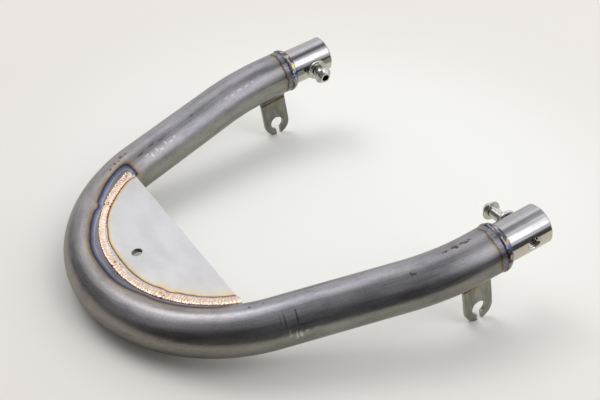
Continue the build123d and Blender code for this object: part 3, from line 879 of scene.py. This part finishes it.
def makeBeadRun(run):
    shape = beadShape
    bm = bmesh.new()
    start = shape["runEnds"][run] * bendLength - (shape["overlap"] if run else 0)
    end = shape["runEnds"][run + 1] * bendLength
    first, last = straightWall(bm, 1, shape["segments"], start, end, int((end - start) / shape["step"]))
    for loop in (first, last):
        bmesh.ops.contextual_create(bm, geom=loop)
    straightened = bm.verts.layers.float_vector.new("straightened")
    paintedShade = bm.verts.layers.float.new("paintedShade")
    nose, crater = shape["noseLength"], shape["crater"]
    base, swings = shape["rippleSwing"]
    for vert in bm.verts:
        along, across, above = vert.co      # across runs from -1 at the plate's toe to 1 at the tube's
        angle = along / bendLength
        fromNose, toEnd = along - start, end - along
        gap = min(1.0, fromNose / nose, toEnd / nose)
        taper = sqrt(max(0.0, 1 - (1 - gap) ** 2))
        share = (across * max(taper, shape["endPinch"]) + 1) / 2
        if run == 0:
            angle -= shape["firstEndSkew"] * share * max(0.0, 1 - fromNose / shape["skewFades"]) / bendLength
        toeRadius = between(shape["plateToe"], angle) + stray(shape["plateToeStrays"], along, 7, 0)
        roll = radians(between(shape["tubeToe"], angle) + stray(shape["tubeToeStrays"], along, 3, 0))
        radius = toeRadius + (hoop["bendRadius"] - hoop["tubeRadius"] * sin(roll) - toeRadius) * share
        height = hoop["plateTop"] + (hoop["tubeRadius"] * cos(roll) - hoop["plateTop"]) * share
        crown = sqrt(max(0.0, 1 - across * across))
        drawn = along + shape["slant"][run] * across + shape["bulge"] * across * across
        phase = drawn / shape["ripplePitch"][run] + stray(shape["rippleStrays"], along, run * 5.0, 1)
        ripple = ridge(phase)
        strength = base + swings * noise.noise((along * 0.5, across * 1.2, run * 9.0))
        strength *= shape["rippleHeight"] * min(1.0, 2 * crown)
        # painted shade: dark in the ripples' creases and towards the toes, lighter on their crests
        dark = 1 - ripple * min(1.0, shape["toeLight"] + 1.4 * crown)
        lift = -shape["sunk"] - shape["root"] * crown
        if above >= 0:
            lift = (shape["crown"] * crown + strength * (ripple - shape["rippleLevel"])) * taper
            if run:
                lift += shape["noseLift"] * crown * taper * max(0.0, 1 - fromNose / shape["liftFades"])
                away = hypot(fromNose - crater["fromNose"], across * beadLook["halfWidth"] * crater["across"])
                lift -= crater["depth"] * exp(-((away / crater["size"]) ** 2))
                # painted shade in a ring round each crater
                ring = (away - crater["ring"]) / crater["ringWidth"]
                dark += crater["ringDark"] * exp(-ring * ring)
            # painted shade at a nose's thin edge; the first run's own end keeps only a share of it
            if run or fromNose > nose:
                dark += shape["noseDark"] * max(0.0, 1 - 2 * taper)
            else:
                dark *= shape["firstEndDark"]
        vert[paintedShade] = min(1.0, dark)
        vert[straightened] = Vector((along, across * beadLook["halfWidth"], above))
        vert.co = Vector((-radius * cos(radians(angle)), radius * sin(radians(angle)), height + lift))
    addPiece(bm, f"beadRun{run + 1}", "bronze_weld", shape["sharp"], f"gusset_weld_{run + 1}")


# A full turn of an outline about X. Its points are along and radius in mm
def turned(outline, segments):
    bm = bmesh.new()
    verts = [bm.verts.new((along, 0, radius)) for along, radius in outline]
    edges = [bm.edges.new(pair) for pair in zip(verts, verts[1:])]
    bmesh.ops.spin(
        bm, geom=verts + edges, cent=(0, 0, 0), axis=(1, 0, 0), angle=2 * pi, steps=segments,
        use_merge=True, use_duplicate=False,
    )
    bmesh.ops.remove_doubles(bm, verts=bm.verts[:], dist=0.0005)
    return bm


# Weld ring round each slug, laid as soft overlapping scales
ringShape = {
    "onTube": 2.8,
    "onSlug": 2.0,
    "bulge": 1.24,
    "section": 24,
    "segments": 260,
    "scales": 15,
    "scaleHeight": 0.26,
    "scaleLevel": 0.85,      # how far up a scale the plain bulge lies
    "scaleBulge": 0.6,
    "scaleSlant": 0.3,
    "scaleStray": 0.5,
    # painted light that a scale keeps at its toes
    "toeLight": 0.35,
    "edgeWander": 0.10,
    "lumps": 0.12,
    "sunk": 0.6,
    "sharp": 75,
}


def makeEndRing(name, side):
    shape = ringShape
    steps = [2 * pi * step / shape["section"] for step in range(shape["section"] + 1)]
    bm = turned([(sin(turn), hoop["tubeRadius"] + cos(turn)) for turn in steps], shape["segments"])
    paintedShade = bm.verts.layers.float.new("paintedShade")
    half = (shape["onTube"] + shape["onSlug"]) / 2
    middle = (shape["onSlug"] - shape["onTube"]) / 2
    chord = (hoop["tubeRadius"] + hoop["slugRadius"]) / 2
    slope = (hoop["tubeRadius"] - hoop["slugRadius"]) / 2
    for vert in bm.verts:
        roll = atan2(vert.co.y, vert.co.z)
        across, above = vert.co.x, hypot(vert.co.y, vert.co.z) - hoop["tubeRadius"]
        wander = Vector((3 * cos(roll), 3 * sin(roll), 5.0 * side))
        crown = sqrt(max(0.0, 1 - across * across))
        phase = shape["scales"] * (roll + pi) / (2 * pi)
        phase += shape["scaleBulge"] * across * across + shape["scaleSlant"] * across
        scale = ridge(phase + shape["scaleStray"] * noise.noise(wander))
        lift = -shape["sunk"] * crown
        dark = 0.0
        if above >= 0:
            strength = shape["scaleHeight"] * min(1.0, 1.6 * crown)
            lift = shape["bulge"] * crown + strength * (scale - shape["scaleLevel"])
            lift += shape["lumps"] * (noise.noise(wander * 0.7) - 0.5) * crown
            # painted shade: dark in the creases between scales and towards the toes, lighter on their backs
            dark = 1 - scale * min(1.0, shape["toeLight"] + 1.3 * crown)
        vert[paintedShade] = dark
        radius = chord - slope * across + lift
        along = middle + half * across * (1 + shape["edgeWander"] * noise.noise(wander * 2))
        vert.co = Vector((endPoint.x + along, side * endPoint.y + radius * sin(roll), radius * cos(roll)))
    addPiece(bm, f"{name}EndRing", "tinted_weld", shape["sharp"], f"{name}_end_weld")


# Cross screws, washers and the thread in the holes' free mouths. Along is from the slug's axis, inward
screwShape = {
    "standingOut": {"left": 7.7, "right": 12.7},
    "slugTurn": {"left": 7.0, "right": 3.0},
    "length": 20.0,
    "shankRadius": 3.0,
    "tipChamfer": 0.6,
    "headRadius": 5.25,
    "headHeight": 3.3,
    "rim": 0.5,
    "flatRadius": 2.9,
    "domeRadius": 5.6,
    "socketFlats": 4.0,
    "socketDepth": 2.1,
    "edge": 0.14,
    "segments": 72,
    "sharp": 32,
}
washerShape = {
    "radius": 6.25, "hole": 3.3, "thickness": 1.6, "gap": 0.05, "edge": 0.25, "segments": 72, "sharp": 50,
}
# The ridge's section is shares of a pitch and radii. The last part of a turn is left off
threadShape = {
    "pitch": 1.0,
    "section": ((0.0, 3.12), (0.42, 2.5), (0.54, 2.5), (0.96, 3.12)),
    "mouth": 9.55,
    "leftOff": 0.6,
    "steps": 30,
    "sharp": 20,
}


# Moves a piece from its cross hole's own frame to the hoop's
def placeCross(bm, name, side):
    turn = radians(screwShape["slugTurn"][name])
    inward = Vector((0, -side * cos(turn), -sin(turn)))
    ahead = Vector((1, 0, 0))
    axes = Matrix((inward, ahead.cross(inward), ahead)).transposed()
    centre = Vector((endPoint.x + hoop["crossHoleFromTube"], side * endPoint.y, 0))
    bmesh.ops.transform(bm, verts=bm.verts[:], matrix=Matrix.Translation(centre) @ axes.to_4x4())


# Points on an arc between two points, bulging away from the axis
def arcPoints(start, end, radius, steps):
    start, end = Vector(start), Vector(end)
    chord = end - start
    rise = sqrt(radius ** 2 - (chord.length / 2) ** 2)
    centre = (start + end) / 2 - Vector((chord.y, -chord.x)).normalized() * rise
    points = []
    for step in range(steps + 1):
        spoke = (start - centre).lerp(end - centre, step / steps).normalized() * radius
        points.append(tuple(centre + spoke))
    return points


def makeScrew(name, side):
    shape = screwShape
    under = hoop["slugRadius"] + shape["standingOut"][name]
    top, tip, edge = under + shape["headHeight"], under - shape["length"], shape["edge"]
    apothem = shape["socketFlats"] / 2
    floorAt = top - shape["socketDepth"]
    head, shank, flat = shape["headRadius"], shape["shankRadius"], shape["flatRadius"]
    dome = arcPoints((under + shape["rim"], head), (top - edge / 2, flat + edge), shape["domeRadius"], 8)
    outline = [
        (floorAt - 0.5, 0), (floorAt, apothem * 0.98), (floorAt, apothem), (top - edge, apothem),
        (top, apothem + edge), (top, flat - edge), *reversed(dome), (under + edge, head),
        (under, head - edge), (under, shank + 2 * edge), (under - edge, shank),
        (tip + shape["tipChamfer"], shank), (tip, shank - shape["tipChamfer"]), (tip, 0),
    ]
    bm = turned(outline, shape["segments"])
    paintedShade = bm.verts.layers.float.new("paintedShade")
    for vert in bm.verts:
        away = hypot(vert.co.y, vert.co.z)
        # painted shade on the socket's walls and floor
        if vert.co.x > floorAt - 0.6 and vert.co.x < top - edge / 2 and away < apothem + 0.01:
            vert[paintedShade] = 1.0
        if vert.co.x > floorAt - 0.1 and 0.5 < away < apothem + edge + 0.01:
            corner = (atan2(vert.co.y, vert.co.z) % (pi / 3)) - pi / 6
            vert.co.yz *= 1 / cos(corner)
    placeCross(bm, name, side)
    addPiece(bm, f"{name}CrossScrew", "fastener", shape["sharp"], f"{name}_screw")


def makeWasher(name, side):
    shape = washerShape
    radius, hole, edge = shape["radius"], shape["hole"], shape["edge"]
    low = hoop["slugRadius"] + shape["gap"]
    high = low + shape["thickness"]
    bm = turned([
        (low, hole + edge / 2), (low, radius - edge), (low + edge / 3, radius - edge / 3),
        (low + edge, radius), (high - edge, radius), (high - edge / 3, radius - edge / 3),
        (high, radius - edge), (high, hole + edge / 2), (high - edge / 2, hole), (low + edge / 2, hole),
        (low, hole + edge / 2),
    ], shape["segments"])
    placeCross(bm, name, side)
    addPiece(bm, f"{name}PlainWasher", "fastener", shape["sharp"], f"{name}_washer")


# A single ridge that winds down the free part of the hole to just short of the screw's tip
def makeThread(name, side):
    shape = threadShape
    tip = hoop["slugRadius"] + screwShape["standingOut"][name] - screwShape["length"]
    turns = int((tip + shape["mouth"]) / shape["pitch"])
    bm = bmesh.new()
    section = [(share * shape["pitch"] - shape["mouth"], 0, radius) for share, radius in shape["section"]]
    verts = [bm.verts.new(corner) for corner in section]
    edges = [bm.edges.new(pair) for pair in zip(verts, verts[1:] + verts[:1])]
    ends = bmesh.ops.spin(
        bm, geom=verts + edges, cent=(0, 0, 0), axis=(1, 0, 0), dvec=(shape["pitch"] / shape["steps"], 0, 0),
        angle=2 * pi * (turns - shape["leftOff"]), steps=turns * shape["steps"], use_duplicate=False,
    )["geom_last"]
    bmesh.ops.contextual_create(bm, geom=edges)
    bmesh.ops.contextual_create(bm, geom=[item for item in ends if isinstance(item, bmesh.types.BMEdge)])
    placeCross(bm, name, side)
    addPiece(bm, f"{name}HoleThread", "bright_slug", shape["sharp"])


makeHoopTube()
for run in range(4):
    makeBeadRun(run)
for name, side in (("left", 1), ("right", -1)):
    makeEndRing(name, side)
    makeScrew(name, side)
    makeWasher(name, side)
    makeThread(name, side)
print("pieces made")


# Floor, light and camera. Directions are azimuth and elevation in degrees, seen from the object
studio = {
    # painted light on the floor: its colour brightens from the dim to the bright one between two points
    "floorDim": (0.865, 0.850, 0.838),
    "floorBright": (0.945, 0.940, 0.932),
    "floorTurn": ((-0.25, -0.1), (0.35, 0.25)),     # from where to where the floor brightens, in metres
    "floorHalf": 6.0,
    # painted pool of light on the floor round a middle point: its tint near and far from it
    "floorMiddle": (0.06, 0.03, 0.0),
    "floorReach": (0.09, 0.27),
    "paintedPoolNear": (1.015, 1.025, 1.005),
    "paintedPoolFar": (0.93, 0.895, 0.855),
    "floorSeen": (0.80, 0.785, 0.715),     # how much of the floor the metal shows
    "floorFinish": {"Roughness": 0.9, "Specular IOR Level": 0.0},
    "roomLight": 0.16,
    # bright parts of the room: direction, inner and outer reach in degrees, strength
    "brightPlaces": [
        ((70, 30), 10, 55, 0.59), ((100, 60), 5, 30, 0.34), ((80, 8), 3, 30, 0.08),
        ((0, 30), 10, 60, 0.91), ((-55, 5), 5, 25, 0.27), ((-85, 20), 5, 35, 0.15),
        ((-112, 68), 3, 25, 0.20), ((165, 45), 5, 35, 0.19), ((-165, 15), 5, 40, 0.07),
        ((82, 76), 4, 22, 0.26), ((127, 59), 5, 24, 0.75),
    ],
    # a dark beam overhead: the normal of its plane, half its width in degrees, how high it starts, strength
    "beam": {
        "normal": (0.930, -0.303, -0.207), "width": (1.2, 5.0), "height": (0.85, 0.92), "strength": 0.55,
    },
    "lamps": {
        "window": {"aim": (-53, 42), "distance": 1.5, "size": (0.75, 1.5), "radiance": 0.50},
        "windowRight": {"aim": (-47, 36), "distance": 1.5, "size": (0.35, 0.9), "radiance": 0.62},
        "windowLeft": {"aim": (-66, 42.5), "distance": 1.5, "size": (0.30, 0.88), "radiance": 1.2},
        "skylight": {"aim": (105, 57), "distance": 1.8, "size": (0.5, 0.4), "radiance": 2.6},
        "fillBack": {"aim": (105, 60), "distance": 2.0, "size": (1.2, 1.2), "radiance": 1.2},
        "fillFront": {"aim": (-60, 60), "distance": 2.0, "size": (1.2, 1.2), "radiance": 1.1},
    },
    # a black card that stands in front of the object and only the metal sees
    "card": {"azimuth": -121, "distance": 0.145, "width": 2.4, "height": 0.079, "shade": 0.10},
}


def direction(azimuth, elevation):
    a, e = radians(azimuth), radians(elevation)
    return Vector((cos(a) * cos(e), sin(a) * cos(e), sin(e)))


def makeFloor():
    bm = bmesh.new()
    bmesh.ops.create_grid(bm, x_segments=1, y_segments=1, size=studio["floorHalf"])
    material, tree, shader = newMaterial("paleFloor", studio["floorFinish"])
    point = addNode(tree, "TexCoord").outputs["Object"]
    start, end = (Vector((*corner, 0)) for corner in studio["floorTurn"])
    way = (end - start) / (end - start).length_squared
    along = vectorCalc(tree, "DOT_PRODUCT", vectorCalc(tree, "SUBTRACT", point, start), way, output="Value")
    # painted light: the floor brightens across it and round its middle
    colour = mixed(tree, spread(tree, along, 0, 1), studio["floorDim"], studio["floorBright"])
    away = vectorCalc(tree, "DISTANCE", point, Vector(studio["floorMiddle"]), output="Value")
    away = spread(tree, away, *studio["floorReach"])
    colour = tinted(tree, colour, mixed(tree, away, studio["paintedPoolNear"], studio["paintedPoolFar"]))
    seenInMetal = addNode(tree, "LightPath").outputs["Is Glossy Ray"]
    colour = tinted(tree, colour, studio["floorSeen"], seenInMetal)
    tree.links.new(colour, shader.inputs["Base Color"])
    linkMesh(bm, "floor", material)


def makeCard():
    card = studio["card"]
    bm = bmesh.new()
    bmesh.ops.create_grid(bm, x_segments=1, y_segments=1, size=0.5)
    bmesh.ops.scale(bm, verts=bm.verts[:], vec=(card["height"], card["width"], 1))
    upright = Matrix.Rotation(radians(card["azimuth"]), 4, "Z") @ Matrix.Rotation(pi / 2, 4, "Y")
    middle = direction(card["azimuth"], 0) * card["distance"] + Vector((0, 0, card["height"] / 2))
    bmesh.ops.transform(bm, verts=bm.verts[:], matrix=Matrix.Translation(middle) @ upright)
    shade = (card["shade"], card["shade"], card["shade"], 1)
    material, tree, shader = newMaterial("blackCard", {"Base Color": shade, **studio["floorFinish"]})
    flag = linkMesh(bm, "card", material)
    flag.visible_camera = False
    flag.visible_diffuse = False
    flag.visible_shadow = False


def makeWorld():
    world = bpy.data.worlds.new("studio")
    world.use_nodes = True
    tree = world.node_tree
    tree.nodes.clear()
    coordinate = addNode(tree, "TexCoord").outputs["Generated"]
    light = studio["roomLight"]
    for aim, inner, outer, strength in studio["brightPlaces"]:
        facing = vectorCalc(tree, "DOT_PRODUCT", coordinate, direction(*aim), output="Value")
        glow = spread(tree, facing, cos(radians(outer)), cos(radians(inner)), 0.0, strength)
        light = calc(tree, "ADD", light, glow)
    beam = studio["beam"]
    across = vectorCalc(tree, "DOT_PRODUCT", coordinate, Vector(beam["normal"]), output="Value")
    thin, wide = (sin(radians(width)) for width in beam["width"])
    dark = spread(tree, calc(tree, "ABSOLUTE", across), thin, wide, beam["strength"], 0.0)
    dark = times(tree, dark, spread(tree, axesOf(tree, coordinate)["Z"], *beam["height"]))
    light = times(tree, light, less(tree, 1.0, dark))
    background = addNode(tree, "Background", {"Color": (1, 1, 1, 1), "Strength": light})
    output = addNode(tree, "OutputWorld")
    tree.links.new(background.outputs[0], output.inputs["Surface"])
    bpy.context.scene.world = world


# The fill lamps light the floor and stay out of the metal
def makeLamp(name, lamp):
    light = bpy.data.lights.new(name, "AREA")
    light.shape = "RECTANGLE"
    light.size, light.size_y = lamp["size"]
    light.energy = lamp["radiance"] * pi * light.size * light.size_y
    made = bpy.data.objects.new(name, light)
    made.location = direction(*lamp["aim"]) * lamp["distance"]
    made.rotation_euler = made.location.to_track_quat("Z", "Y").to_euler()
    made.visible_camera = False
    made.visible_glossy = not name.startswith("fill")
    bpy.context.scene.collection.objects.link(made)


camera = {
    "place": (-0.24232, -0.44145, 0.38765),
    "right": (0.86054, -0.50913, 0.01597),
    "above": (0.28071, 0.50015, 0.81918),
    "lens": 69.2,
    "sensor": 36,
    "nearest": 0.01,
}


def makeCamera():
    data = bpy.data.cameras.new("camera")
    data.lens = camera["lens"]
    data.sensor_width = camera["sensor"]
    data.clip_start = camera["nearest"]
    right = Vector(camera["right"]).normalized()
    above = Vector(camera["above"])
    above = (above - right * above.dot(right)).normalized()
    eye = bpy.data.objects.new("camera", data)
    turn = Matrix((right, above, right.cross(above))).transposed()
    eye.matrix_world = Matrix.Translation(camera["place"]) @ turn.to_4x4()
    bpy.context.scene.collection.objects.link(eye)
    bpy.context.scene.camera = eye


makeFloor()
makeCard()
makeWorld()
for name, lamp in studio["lamps"].items():
    makeLamp(name, lamp)
makeCamera()
bpy.context.scene.view_settings.view_transform = "Standard"
print("stage set")
